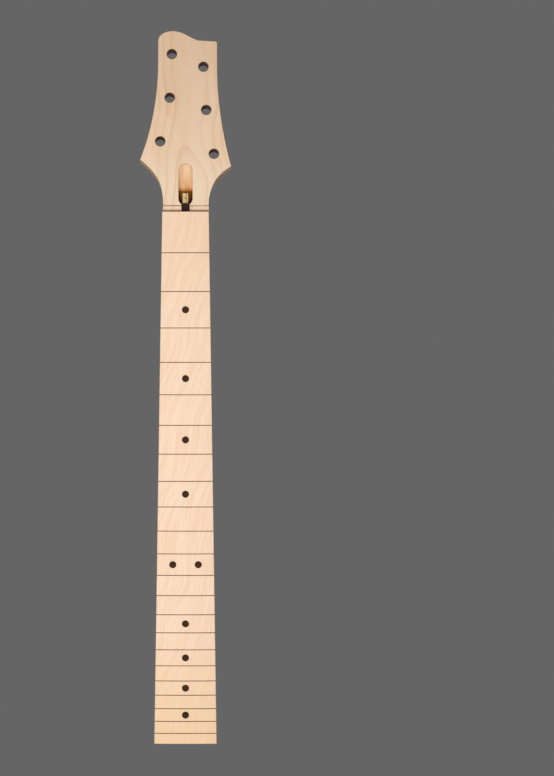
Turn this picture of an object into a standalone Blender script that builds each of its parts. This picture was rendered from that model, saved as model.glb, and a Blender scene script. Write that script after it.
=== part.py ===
"""Bolt-on electric guitar neck before fretting, with its two-way truss rod.

Metres. +Z runs along the neck towards the head, the fingerboard faces -Y and the
bass side is -X. The origin is the centre of the screw pattern on the heel's flat back.
"""

import math

import bmesh
import bpy
from mathutils import Matrix, Vector

# Scale and plan
SCALE_LENGTH = 0.6477
FRET_COUNT = 22
NUT_WIDTH = 0.0413
HEEL_WIDTH = 0.0556
HEEL_BEYOND_LAST_FRET = 0.003055
BOARD_OVERHANG = 0.0063

# Heel and its screws
HEEL_DEPTH = 0.0254
SCREW_SPACING_X = 0.0381
SCREW_SPACING_Z = 0.0508
REAR_SCREWS_FROM_HEEL_END = 0.016
PILOT_DIAMETER = 0.0032
PILOT_DEPTH = 0.015
HEEL_END_SAGITTA = 0.003
HEEL_CORNER_RADIUS = 0.005
HEEL_COVE_LENGTH = 0.0135
HEEL_COVE_START = 0.0534

# Shaft
SHAFT_DEPTH_AT_FIRST_FRET = 0.021
SHAFT_DEPTH_AT_TWELFTH_FRET = 0.0224
FLANK_HEIGHT = 0.0005
SECTION_POWER = 2.2
SHAFT_FLAT_SHARE = 0.05
LIP_FLAT_SHARE = 0.2
FULL_FLAT_SHARE = 0.98

# Fingerboard
BOARD_THICKNESS = 0.00635
BOARD_RADIUS_AT_NUT = 0.254
BOARD_RADIUS_AT_END = 0.4064
BOARD_EDGE_ROLL = 0.0004
SLOT_WIDTH = 0.00058
SLOT_DEPTH = 0.0025

# Inlays
DOT_FRETS = (3, 5, 7, 9, 15, 17, 19, 21)
OCTAVE_FRET = 12
OCTAVE_DOT_SPACING = 0.0228
OCTAVE_SIDE_DOT_SPACING = 0.006
DOT_DIAMETER = 0.00635
DOT_THICKNESS = 0.0018
SIDE_DOT_DIAMETER = 0.002
SIDE_DOT_LENGTH = 0.0025

# Head
HEAD_TILT = math.radians(10.0)
HEAD_THICKNESS = 0.0143
NUT_SHELF = 0.0048
HEAD_FACE_STEP = 0.00085
LIP_HEIGHT = 0.0011
LIP_ABOVE_CREASE = 0.0008
LIP_COVE_LENGTH = 0.0062
LIP_COVE_RUNOUT = 0.0015
TONGUE_LENGTH = 0.024
TONGUE_EASE = 1.5
TONGUE_SPREAD = 3.2
FLARE_BELOW_NUT = 0.03
BASS_SHELF_INSET = 0.0006
SHELF_INSET_RUN = 0.0075
TUNER_HOLE_DIAMETER = 0.00873
TUNER_HOLES = {
    "bass_1": (-0.0225, 0.0588),
    "bass_2": (-0.0141, 0.0985),
    "bass_3": (-0.0122, 0.1383),
    "treble_1": (0.0253, 0.0475),
    "treble_2": (0.0185, 0.0873),
    "treble_3": (0.0160, 0.1267),
}

# Head outline: x and the height up the face from its lower edge, with its curves' handles
FLARE_FOOT_HEIGHT = 0.002
BASS_FLARE_HANDLE_HEIGHT = 0.0166
BASS_FLARE_HANDLE = (-0.0221, 0.0271)
BASS_TIP = (-0.0405, 0.0423)
BASS_WAIST_HANDLE = (-0.0276, 0.0755)
BASS_EDGE_HANDLE_HEIGHT = 0.1085
BASS_EDGE_FOOT = (-0.0246, 0.130)
BASS_EDGE_TOP = (-0.0245, 0.1502)
LOBE_HANDLE_HEIGHT = 0.1584
LOBE_HANDLE_X = -0.0145
CROWN_TOP = (-0.0116, 0.1594)
CROWN_HALF_FLAT = 0.002
TREBLE_FLARE_HANDLE_HEIGHT = 0.0172
TREBLE_FLARE_HANDLE = (0.0278, 0.0285)
TREBLE_TIP = (0.0407, 0.0361)
TREBLE_WAIST_HANDLE = (0.0334, 0.0633)
TREBLE_EDGE_HANDLE_HEIGHT = 0.0949
TREBLE_EDGE_FOOT = (0.0283, 0.128)
TREBLE_CORNER_RADIUS = 0.002
TOP_EDGE_START = (0.017, 0.1502)
TOP_EDGE_HANDLE_X = 0.0049
CROWN_HANDLE_X = 0.0009
TOP_EDGE_HEIGHT = 0.1502
SHORTEST_HEAD_STEP = 0.0006

# Access trough for the truss rod key
TROUGH_WIDTH = 0.0126
TROUGH_BOTTOM = 0.0008
TROUGH_TOP = 0.039
TROUGH_FLOOR = 0.0092
POCKET_TOP = 0.0145
POCKET_FLOOR = 0.011

# Truss rod, with depths measured from the joint between neck and fingerboard
ROD_END_BEFORE_HEEL_END = 0.0206
SLEEVE_WIDTH = 0.0068
SLEEVE_HEIGHT = 0.0094
SLEEVE_WALL = 0.0004
SLEEVE_CORNER = 0.0009
SLEEVE_ABOVE_NUT = 0.0071
BLOCK_LENGTH = 0.011
BAR_WIDTH = 0.005
BAR_HEIGHT = 0.0028
SCREW_DIAMETER = 0.004
SCREW_AXIS_DEPTH = 0.0063
ROD_NUT_DIAMETER = 0.0056
ROD_NUT_LENGTH = 0.0093
ROD_NUT_CHAMFER = 0.0005
KEY_SIZE = 0.0032
KEY_DEPTH = 0.005

# Clearances
GLUE_GAP = 0.0003
INLAY_GAP = 0.0003
ROD_GAP = 0.0003
SLIDE_GAP = 0.00025
CUT_MARGIN = 0.004
CUTTER_REACH = 0.06
STOCK = 0.0015
SMOOTH_ANGLE = math.radians(30.0)

# Fineness of curves
OUTLINE_STEPS = 18
CROWN_STEPS = 12
SHOULDER_STEPS = 15
TONGUE_STEPS = 22
FLARE_STEPS = 8
COVE_STEPS = 12
TROUGH_STEPS = 18
HOLE_SIDES = 40
SMALL_ARC_STEPS = 6

# Places that follow from the sizes above
HEEL_END_FROM_NUT = SCALE_LENGTH * (1 - 2 ** (-FRET_COUNT / 12)) + HEEL_BEYOND_LAST_FRET
ROD_REAR_END = HEEL_END_FROM_NUT - ROD_END_BEFORE_HEEL_END
HEEL_END_Z = -(SCREW_SPACING_Z / 2 + REAR_SCREWS_FROM_HEEL_END)
NUT_Z = HEEL_END_Z + HEEL_END_FROM_NUT
BOARD_END_Z = HEEL_END_Z - BOARD_OVERHANG
CREASE_Z = NUT_Z + NUT_SHELF
CROWN_Y = -HEEL_DEPTH
JOINT_Y = CROWN_Y + BOARD_THICKNESS
FACE_Y = JOINT_Y + HEAD_FACE_STEP
TAPER = (HEEL_WIDTH - NUT_WIDTH) / HEEL_END_FROM_NUT
SCREW_Y = JOINT_Y + SCREW_AXIS_DEPTH
CHANNEL_WIDTH = SLEEVE_WIDTH + 2 * ROD_GAP
CHANNEL_DEPTH = SLEEVE_HEIGHT + 2 * ROD_GAP

X_AXIS = Vector((1, 0, 0))
Y_AXIS = Vector((0, 1, 0))
Z_AXIS = Vector((0, 0, 1))
HEAD_UP = Vector((0, math.sin(HEAD_TILT), math.cos(HEAD_TILT)))
HEAD_FRONT = Vector((0, -math.cos(HEAD_TILT), math.sin(HEAD_TILT)))


def frame_at(origin, right, up):
    """Placement whose local x, y and z lie along right, up and right x up."""
    out = right.cross(up)
    turn = Matrix((right, up, out)).transposed().to_4x4()
    return Matrix.Translation(origin) @ turn


HEAD_FRAME = frame_at(Vector((0, FACE_Y, CREASE_Z)), X_AXIS, HEAD_UP)
PROFILE_FRAME = frame_at(Vector((0, 0, 0)), Y_AXIS, Z_AXIS)
PLAN_FRAME = frame_at(Vector((0, 0, 0)), X_AXIS, Z_AXIS)


def fret_z(number):
    """Height of a fret slot's centre: equal temperament on the scale length."""
    return NUT_Z - SCALE_LENGTH * (1 - 2 ** (-number / 12))


def half_width(z):
    """Half of the neck's tapered width."""
    return (NUT_WIDTH + TAPER * (NUT_Z - z)) / 2


def board_radius(z):
    """Compound radius of the fingerboard's playing surface."""
    share = (NUT_Z - z) / (NUT_Z - BOARD_END_Z)
    return BOARD_RADIUS_AT_NUT + share * (BOARD_RADIUS_AT_END - BOARD_RADIUS_AT_NUT)


def board_y(x, z):
    """Playing surface at x and z."""
    radius = board_radius(z)
    return CROWN_Y + radius - math.sqrt(radius**2 - x**2)


def shaft_depth(z):
    """Depth of the wood behind the fingerboard joint, before the heel and the head."""
    first = fret_z(1)
    share = (first - z) / (first - fret_z(12))
    change = SHAFT_DEPTH_AT_TWELFTH_FRET - SHAFT_DEPTH_AT_FIRST_FRET
    return SHAFT_DEPTH_AT_FIRST_FRET + share * change - BOARD_THICKNESS


def bezier(start, start_handle, end_handle, end, count):
    """Points of a cubic curve, without its last one."""
    points = []
    for step in range(count):
        t = step / count
        weights = ((1 - t) ** 3, 3 * (1 - t) ** 2 * t, 3 * (1 - t) * t**2, t**3)
        knots = (start, start_handle, end_handle, end)
        points.append(tuple(sum(w * k[axis] for w, k in zip(weights, knots)) for axis in (0, 1)))
    return points


def arc(centre, radius, first, last, count):
    """Points of a circular arc between two angles in degrees, both ends included."""
    points = []
    for step in range(count + 1):
        angle = math.radians(first + (last - first) * step / count)
        points.append((centre[0] + radius * math.cos(angle), centre[1] + radius * math.sin(angle)))
    return points


def bass_side():
    """Head outline on the bass side, from the nut up to the crown."""
    neck = -half_width(NUT_Z) + BASS_SHELF_INSET
    foot = (neck, FLARE_FOOT_HEIGHT)
    edge_handle = (BASS_EDGE_FOOT[0], BASS_EDGE_HANDLE_HEIGHT)
    lobe_handle = (BASS_EDGE_TOP[0], LOBE_HANDLE_HEIGHT)
    crown_handle = (LOBE_HANDLE_X, CROWN_TOP[1])
    flare_handle = (neck, BASS_FLARE_HANDLE_HEIGHT)
    points = bezier(foot, flare_handle, BASS_FLARE_HANDLE, BASS_TIP, OUTLINE_STEPS)
    points += bezier(BASS_TIP, BASS_WAIST_HANDLE, edge_handle, BASS_EDGE_FOOT, OUTLINE_STEPS)
    points += [BASS_EDGE_FOOT]
    points += bezier(BASS_EDGE_TOP, lobe_handle, crown_handle, CROWN_TOP, CROWN_STEPS)
    return points + [CROWN_TOP]


def treble_side():
    """Head outline on the treble side, from the nut up to the crown."""
    neck = half_width(NUT_Z)
    foot = (neck, FLARE_FOOT_HEIGHT)
    edge_handle = (TREBLE_EDGE_FOOT[0], TREBLE_EDGE_HANDLE_HEIGHT)
    corner = (TREBLE_EDGE_FOOT[0] - TREBLE_CORNER_RADIUS, TOP_EDGE_HEIGHT - TREBLE_CORNER_RADIUS)
    top_handle = (TOP_EDGE_HANDLE_X, TOP_EDGE_START[1])
    crown_handle = (CROWN_HANDLE_X, CROWN_TOP[1])
    flare_handle = (neck, TREBLE_FLARE_HANDLE_HEIGHT)
    points = bezier(foot, flare_handle, TREBLE_FLARE_HANDLE, TREBLE_TIP, OUTLINE_STEPS)
    points += bezier(TREBLE_TIP, TREBLE_WAIST_HANDLE, edge_handle, TREBLE_EDGE_FOOT, OUTLINE_STEPS)
    points += [TREBLE_EDGE_FOOT]
    points += arc(corner, TREBLE_CORNER_RADIUS, 0, 90, SMALL_ARC_STEPS)
    points += bezier(TOP_EDGE_START, top_handle, crown_handle, CROWN_TOP, CROWN_STEPS)
    return points + [CROWN_TOP]


def x_at(side, height):
    """Where an outline side, whose points climb steadily, has a given height."""
    if height <= side[0][1]:
        return side[0][0]
    for (x0, h0), (x1, h1) in zip(side, side[1:]):
        if height <= h1:
            return x0 + (x1 - x0) * (height - h0) / max(h1 - h0, 1e-9)
    return side[-1][0]


def section(left, right, depth, flat, flank):
    """Half-round section as (x, depth) points: flank, curved shoulder, flat, and back up."""
    power = 2 / SECTION_POWER
    shoulder = []
    for step in range(SHOULDER_STEPS + 1):
        angle = math.pi / 2 * step / SHOULDER_STEPS
        across = max(math.cos(angle), 0.0) ** power
        down = max(math.sin(angle), 0.0) ** power
        shoulder.append((flat + (1 - flat) * across, flank + (depth - flank) * down))
    bass = [(left * share, deep) for share, deep in shoulder]
    treble = [(right * share, deep) for share, deep in reversed(shoulder)]
    return [(left, 0.0)] + bass + treble + [(right, 0.0)]


def place_ring(points, front, tilt):
    """Puts section points behind a front point, leaning back by tilt."""
    back = Vector((0, math.cos(tilt), -math.sin(tilt)))
    return [front + X_AXIS * x + back * deep for x, deep in points]


def heel_cove(z):
    """Height of the straight flank that the cove adds towards the heel."""
    height = -JOINT_Y + GLUE_GAP
    share = min(max((HEEL_COVE_START - z) / HEEL_COVE_LENGTH, 0.0), 1.0)
    return height * (1 - math.sqrt(1 - share**2))


def neck_rings():
    """Sections of the blank from below the heel up to the crown of the head."""
    rings = []
    heights = [HEEL_END_Z - CUT_MARGIN]
    heights += [
        HEEL_COVE_START - HEEL_COVE_LENGTH * math.sin(math.pi / 2 * (1 - step / COVE_STEPS))
        for step in range(COVE_STEPS + 1)
    ]
    heights += [fret_z(12), fret_z(7), fret_z(3), NUT_Z - FLARE_BELOW_NUT]
    for z in heights:
        cove = heel_cove(z)
        width = half_width(z)
        depth = shaft_depth(z) + cove
        points = section(-width, width, depth, SHAFT_FLAT_SHARE, FLANK_HEIGHT + cove)
        rings.append(place_ring(points, Vector((0, JOINT_Y, z)), 0.0))

    flare_foot = NUT_Z - FLARE_BELOW_NUT
    crease_depth = (HEAD_THICKNESS + LIP_HEIGHT) + HEAD_FACE_STEP * math.cos(HEAD_TILT)
    heights = [flare_foot + FLARE_BELOW_NUT * (k + 1) / FLARE_STEPS for k in range(FLARE_STEPS)]
    for z in heights + [CREASE_Z]:
        share = (z - flare_foot) / (CREASE_Z - flare_foot)
        width = half_width(min(z, NUT_Z))
        inset = BASS_SHELF_INSET * min(max(1 - (NUT_Z - z) / SHELF_INSET_RUN, 0.0), 1.0)
        depth = shaft_depth(flare_foot) + (crease_depth - shaft_depth(flare_foot)) * share**2
        flat = SHAFT_FLAT_SHARE + (LIP_FLAT_SHARE - SHAFT_FLAT_SHARE) * share**2
        points = section(inset - width, width, depth, flat, FLANK_HEIGHT)
        rings.append(place_ring(points, Vector((0, JOINT_Y, z)), HEAD_TILT * share))

    bass = bass_side()
    treble = treble_side()
    tongue_step = TONGUE_LENGTH / TONGUE_STEPS
    tongue = [LIP_ABOVE_CREASE + tongue_step * (k + 1) for k in range(TONGUE_STEPS)]
    levels = sorted({height for _, height in bass + treble} | set(tongue))
    stock_depth = HEAD_THICKNESS + LIP_HEIGHT + STOCK
    low_flank = FLANK_HEIGHT + STOCK - HEAD_FACE_STEP * math.cos(HEAD_TILT)
    crown_left = CROWN_TOP[0] - CROWN_HALF_FLAT
    crown_right = CROWN_TOP[0] + CROWN_HALF_FLAT
    last = 0.0
    for height in levels:
        top = height == CROWN_TOP[1]
        if height - last < SHORTEST_HEAD_STEP and not top:
            continue
        left = x_at(bass, height)
        right = x_at(treble, height)
        if not top and (left > crown_left or right < crown_right):
            continue
        last = height
        share = min(max((height - LIP_ABOVE_CREASE) / TONGUE_LENGTH, 0.0), 1.0)
        spread = 1 - (1 - share**TONGUE_EASE) ** TONGUE_SPREAD
        flat = LIP_FLAT_SHARE + (FULL_FLAT_SHARE - LIP_FLAT_SHARE) * spread
        if top:
            left = crown_left
            right = crown_right
        flank = low_flank + (stock_depth - low_flank) * share**3
        points = section(left, right, stock_depth, flat, flank)
        sag = math.sin(HEAD_TILT) * height * (1 - share) ** 2
        points = [(x, deep - sag * (1 - deep / stock_depth)) for x, deep in points]
        front = Vector((0, FACE_Y, CREASE_Z)) + HEAD_UP * height + HEAD_FRONT * STOCK
        rings.append(place_ring(points, front, HEAD_TILT))
    return rings


def new_material(name, colour, roughness, metallic=0.0):
    """Principled material with one colour."""
    made = bpy.data.materials.new(name)
    made.use_nodes = True
    shader = made.node_tree.nodes["Principled BSDF"]
    shader.inputs["Base Color"].default_value = (*colour, 1.0)
    shader.inputs["Roughness"].default_value = roughness
    shader.inputs["Metallic"].default_value = metallic
    return made


def link_mesh(name, bm, collection, material=None, placement=None):
    """Makes an object of a bmesh, smooth but for its sharp edges."""
    bmesh.ops.recalc_face_normals(bm, faces=bm.faces[:])
    mesh = bpy.data.meshes.new(name)
    bm.to_mesh(mesh)
    bm.free()
    mesh.shade_smooth()
    mesh.set_sharp_from_angle(angle=SMOOTH_ANGLE)
    made = bpy.data.objects.new(name, mesh)
    collection.objects.link(made)
    if placement is not None:
        made.matrix_world = placement
    if material is None:
        made.hide_render = True
        made.display_type = "WIRE"
    else:
        mesh.materials.append(material)
    return made


def loft(name, rings, collection, material=None):
    """Closed solid through rings of equal length, capped at both ends."""
    bm = bmesh.new()
    rows = [[bm.verts.new(point) for point in ring] for ring in rings]
    count = len(rings[0])
    for lower, upper in zip(rows, rows[1:]):
        for i in range(count):
            j = (i + 1) % count
            bm.faces.new((lower[i], lower[j], upper[j], upper[i]))
    bm.faces.new(list(reversed(rows[0])))
    bm.faces.new(rows[-1])
    bmesh.ops.remove_doubles(bm, verts=bm.verts[:], dist=0.000005)
    return link_mesh(name, bm, collection, material)


def extruded_outline(name, points, half_thickness, placement, collection, material=None):
    """Flat outline given thickness both ways, as a closed mesh."""
    curve = bpy.data.curves.new(name + "_outline", "CURVE")
    curve.dimensions = "2D"
    curve.fill_mode = "BOTH"
    curve.extrude = half_thickness
    spline = curve.splines.new("POLY")
    spline.points.add(len(points) - 1)
    for point, (u, v) in zip(spline.points, points):
        point.co = (u, v, 0, 1)
    spline.use_cyclic_u = True
    guide = bpy.data.objects.new(name + "_outline", curve)
    collection.objects.link(guide)
    bpy.context.view_layer.update()
    depsgraph = bpy.context.evaluated_depsgraph_get()
    mesh = bpy.data.meshes.new_from_object(guide.evaluated_get(depsgraph))
    bpy.data.objects.remove(guide)
    bm = bmesh.new()
    bm.from_mesh(mesh)
    bpy.data.meshes.remove(mesh)
    bmesh.ops.remove_doubles(bm, verts=bm.verts[:], dist=0.00001)
    return link_mesh(name, bm, collection, material, placement)


def cylinder(name, radius, length, placement, collection, material=None, segments=24):
    """Cylinder centred on its placement, along its local z."""
    bm = bmesh.new()
    bmesh.ops.create_cone(
        bm, cap_ends=True, segments=segments, radius1=radius, radius2=radius, depth=length
    )
    return link_mesh(name, bm, collection, material, placement)


def box(name, low, high, collection, material=None):
    """Box between two corners, with its origin at its centre."""
    bm = bmesh.new()
    size = [b - a for a, b in zip(low, high)]
    bmesh.ops.create_cube(bm, size=1.0)
    bmesh.ops.scale(bm, vec=size, verts=bm.verts[:])
    centre = [(a + b) / 2 for a, b in zip(low, high)]
    return link_mesh(name, bm, collection, material, Matrix.Translation(centre))


def combine(target, other, operation="DIFFERENCE"):
    """Boolean of target with another object."""
    modifier = target.modifiers.new(other.name, "BOOLEAN")
    modifier.operation = operation
    modifier.object = other


def rounded_rectangle(width, height, radius, centre_v, steps=3):
    """Rectangle with round corners, centred on u = 0."""
    u = width / 2 - radius
    v = height / 2 - radius
    points = arc((u, centre_v + v), radius, 0, 90, steps)
    points += arc((-u, centre_v + v), radius, 90, 180, steps)
    points += arc((-u, centre_v - v), radius, 180, 270, steps)
    return points + arc((u, centre_v - v), radius, 270, 360, steps)


def head_point(x, height, behind=0.0):
    """Point on the head at x and a height up the face, behind its surface."""
    return HEAD_FRAME @ Vector((x, height, -behind))


def cut_head_face(blank, cutters):
    """Saws the tilted face down to the nut shelf."""
    top = head_point(0, CROWN_TOP[1] + CUTTER_REACH)
    before = JOINT_Y - CUTTER_REACH
    profile = [(FACE_Y, CREASE_Z), (top.y, top.z), (before, top.z), (before, CREASE_Z)]
    cutter = extruded_outline("face_cutter", profile, CUTTER_REACH, PROFILE_FRAME, cutters)
    combine(blank, cutter)


def cut_head_back(blank, cutters):
    """Thins the head from behind and leaves a cove above the shaft's lip."""
    radius = (LIP_COVE_LENGTH**2 + LIP_HEIGHT**2) / (2 * LIP_HEIGHT)
    cove_top = LIP_ABOVE_CREASE + LIP_COVE_LENGTH
    reach = CROWN_TOP[1] + CUTTER_REACH
    profile = []
    steps = 8
    for step in range(steps + 1):
        down = (LIP_COVE_LENGTH + LIP_COVE_RUNOUT) * step / steps
        rise = radius - math.sqrt(radius**2 - down**2)
        point = head_point(0, cove_top - down, HEAD_THICKNESS + rise)
        profile.append((point.y, point.z))
    last = head_point(0, LIP_ABOVE_CREASE - LIP_COVE_RUNOUT, HEAD_THICKNESS + CUTTER_REACH)
    far = head_point(0, reach, HEAD_THICKNESS + CUTTER_REACH)
    top = head_point(0, reach, HEAD_THICKNESS)
    profile += [(last.y, last.z), (far.y, far.z), (top.y, top.z)]
    cutter = extruded_outline("back_cutter", profile, CUTTER_REACH, PROFILE_FRAME, cutters)
    combine(blank, cutter)


def cut_heel(blank, cutters):
    """Planes the heel pad flat and rounds the heel's end in plan."""
    pad = box(
        "pad_cutter",
        (-CUTTER_REACH, 0.0, HEEL_END_Z - CUTTER_REACH),
        (CUTTER_REACH, CUTTER_REACH, HEEL_COVE_START + CUT_MARGIN),
        cutters,
    )
    combine(blank, pad)

    width = half_width(HEEL_END_Z)
    corner_x = width - HEEL_CORNER_RADIUS
    corner_z = HEEL_END_Z + HEEL_END_SAGITTA * (corner_x / width) ** 2 + HEEL_CORNER_RADIUS
    side_x = half_width(corner_z) + CUT_MARGIN
    low_z = HEEL_END_Z - CUTTER_REACH
    lean = math.degrees(math.atan(2 * HEEL_END_SAGITTA * corner_x / width**2))
    points = [(-side_x, corner_z)]
    points += arc((-corner_x, corner_z), HEEL_CORNER_RADIUS, 180, 270 - lean, SMALL_ARC_STEPS)
    steps = 8
    for step in range(1, steps):
        x = corner_x * (2 * step / steps - 1)
        points.append((x, HEEL_END_Z + HEEL_END_SAGITTA * (x / width) ** 2))
    points += arc((corner_x, corner_z), HEEL_CORNER_RADIUS, 270 + lean, 360, SMALL_ARC_STEPS)
    points += [(side_x, corner_z), (side_x, low_z), (-side_x, low_z)]
    cutter = extruded_outline("heel_end_cutter", points, CUTTER_REACH, PLAN_FRAME, cutters)
    combine(blank, cutter)

    half_x = SCREW_SPACING_X / 2
    half_z = SCREW_SPACING_Z / 2
    for x in (-half_x, half_x):
        for z in (-half_z, half_z):
            placement = frame_at(Vector((x, 0, z)), X_AXIS, Z_AXIS)
            name = f"pilot_cutter_{'b' if x < 0 else 't'}{'u' if z > 0 else 'l'}"
            radius = PILOT_DIAMETER / 2
            combine(blank, cylinder(name, radius, 2 * PILOT_DEPTH, placement, cutters, segments=16))


def cut_rod_spaces(blank, cutters):
    """Channel under the fingerboard and the key's trough in the head."""
    channel = box(
        "channel_cutter",
        (-CHANNEL_WIDTH / 2, JOINT_Y - CUT_MARGIN, NUT_Z - ROD_REAR_END - ROD_GAP),
        (CHANNEL_WIDTH / 2, JOINT_Y + CHANNEL_DEPTH, CREASE_Z + TROUGH_WIDTH / 2),
        cutters,
    )
    combine(blank, channel)

    radius = TROUGH_WIDTH / 2
    foot = arc((0, TROUGH_BOTTOM + radius), radius, 180, 360, TROUGH_STEPS)
    crown = arc((0, TROUGH_TOP - radius), radius, 0, 180, TROUGH_STEPS)
    square = [(radius, POCKET_TOP), (-radius, POCKET_TOP)]
    spaces = (("trough", foot + crown, TROUGH_FLOOR), ("pocket", foot + square, POCKET_FLOOR))
    for name, outline, floor in spaces:
        cutter = extruded_outline(name + "_cutter", outline, CUTTER_REACH, HEAD_FRAME, cutters)
        depth = box(
            name + "_depth",
            (-TROUGH_WIDTH, JOINT_Y - CUTTER_REACH, NUT_Z - CUTTER_REACH),
            (TROUGH_WIDTH, JOINT_Y + floor, CREASE_Z + TROUGH_TOP + CUT_MARGIN),
            cutters,
        )
        combine(cutter, depth, "INTERSECT")
        combine(blank, cutter)


def cut_tuner_holes(blank, cutters):
    """Six holes square to the head's face."""
    for name, (x, height) in TUNER_HOLES.items():
        placement = HEAD_FRAME @ Matrix.Translation((x, height, -HEAD_THICKNESS / 2))
        hole = cylinder(
            "tuner_cutter_" + name,
            TUNER_HOLE_DIAMETER / 2,
            HEAD_THICKNESS + 2 * CUT_MARGIN,
            placement,
            cutters,
            segments=HOLE_SIDES,
        )
        combine(blank, hole)


def make_blank(parts, cutters, maple):
    """Shaft, heel and head in one piece of maple."""
    blank = loft("neck_blank", neck_rings(), parts, maple)
    cut_head_face(blank, cutters)
    cut_head_back(blank, cutters)
    cut_heel(blank, cutters)
    cut_rod_spaces(blank, cutters)
    cut_tuner_holes(blank, cutters)


def board_section(z):
    """Fingerboard section: flat below, radiused above, with rolled edges."""
    steps = 14
    width = half_width(z)
    inner = width - BOARD_EDGE_ROLL
    under = JOINT_Y - GLUE_GAP
    points = [(-width, under), (-width, board_y(width, z) + BOARD_EDGE_ROLL)]
    for step in range(steps + 1):
        x = inner * (2 * step / steps - 1)
        points.append((x, board_y(x, z)))
    points += [(width, board_y(width, z) + BOARD_EDGE_ROLL), (width, under)]
    return [Vector((x, y, z)) for x, y in points]


def dot_places():
    """Face inlays as (name, x, z)."""
    places = [(f"dot_{n}", 0.0, (fret_z(n) + fret_z(n - 1)) / 2) for n in DOT_FRETS]
    octave_z = (fret_z(OCTAVE_FRET) + fret_z(OCTAVE_FRET - 1)) / 2
    offset = OCTAVE_DOT_SPACING / 2
    places.append((f"dot_{OCTAVE_FRET}_bass", -offset, octave_z))
    places.append((f"dot_{OCTAVE_FRET}_treble", offset, octave_z))
    return places


def side_dot_places():
    """Edge inlays as (name, z)."""
    places = [(f"side_dot_{n}", (fret_z(n) + fret_z(n - 1)) / 2) for n in DOT_FRETS]
    octave_z = (fret_z(OCTAVE_FRET) + fret_z(OCTAVE_FRET - 1)) / 2
    offset = OCTAVE_SIDE_DOT_SPACING / 2
    places.append((f"side_dot_{OCTAVE_FRET}_upper", octave_z + offset))
    places.append((f"side_dot_{OCTAVE_FRET}_lower", octave_z - offset))
    return places


def inlay(name, radius, length, surface, board, cutters, parts, material, segments):
    """Disc flush with a surface frame's face, in a pocket a little larger."""
    pocket_depth = length + INLAY_GAP
    pocket_place = surface @ Matrix.Translation((0, 0, (CUT_MARGIN - pocket_depth) / 2))
    pocket = cylinder(
        name + "_pocket",
        radius + INLAY_GAP,
        pocket_depth + CUT_MARGIN,
        pocket_place,
        cutters,
        segments=segments,
    )
    combine(board, pocket)
    disc_place = surface @ Matrix.Translation((0, 0, -length / 2))
    cylinder(name, radius, length, disc_place, parts, material, segments)


def make_board(parts, cutters, board_maple, dot_brown, side_black):
    """Fingerboard with its fret slots, face dots and side dots."""
    rings = [board_section(BOARD_END_Z), board_section(NUT_Z)]
    board = loft("fingerboard", rings, parts, board_maple)
    slots = bmesh.new()
    for number in range(1, FRET_COUNT + 1):
        made = bmesh.ops.create_cube(slots, size=1.0)["verts"]
        bmesh.ops.scale(slots, vec=(2 * HEEL_WIDTH, 2 * SLOT_DEPTH, SLOT_WIDTH), verts=made)
        bmesh.ops.translate(slots, vec=(0, CROWN_Y, fret_z(number)), verts=made)
    combine(board, link_mesh("slot_cutter", slots, cutters))

    for name, x, z in dot_places():
        lean = math.asin(x / board_radius(z))
        right = Vector((math.cos(lean), math.sin(lean), 0))
        surface = frame_at(Vector((x, board_y(x, z), z)), right, Z_AXIS)
        inlay(name, DOT_DIAMETER / 2, DOT_THICKNESS, surface, board, cutters, parts, dot_brown, 24)

    for name, z in side_dot_places():
        width = half_width(z)
        middle = (JOINT_Y - GLUE_GAP + board_y(width, z)) / 2
        along = Vector((TAPER / 2, 0, 1)).normalized()
        surface = frame_at(Vector((-width, middle, z)), -Y_AXIS, along)
        inlay(name, SIDE_DOT_DIAMETER / 2, SIDE_DOT_LENGTH, surface, board, cutters, parts, side_black, 12)


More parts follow.
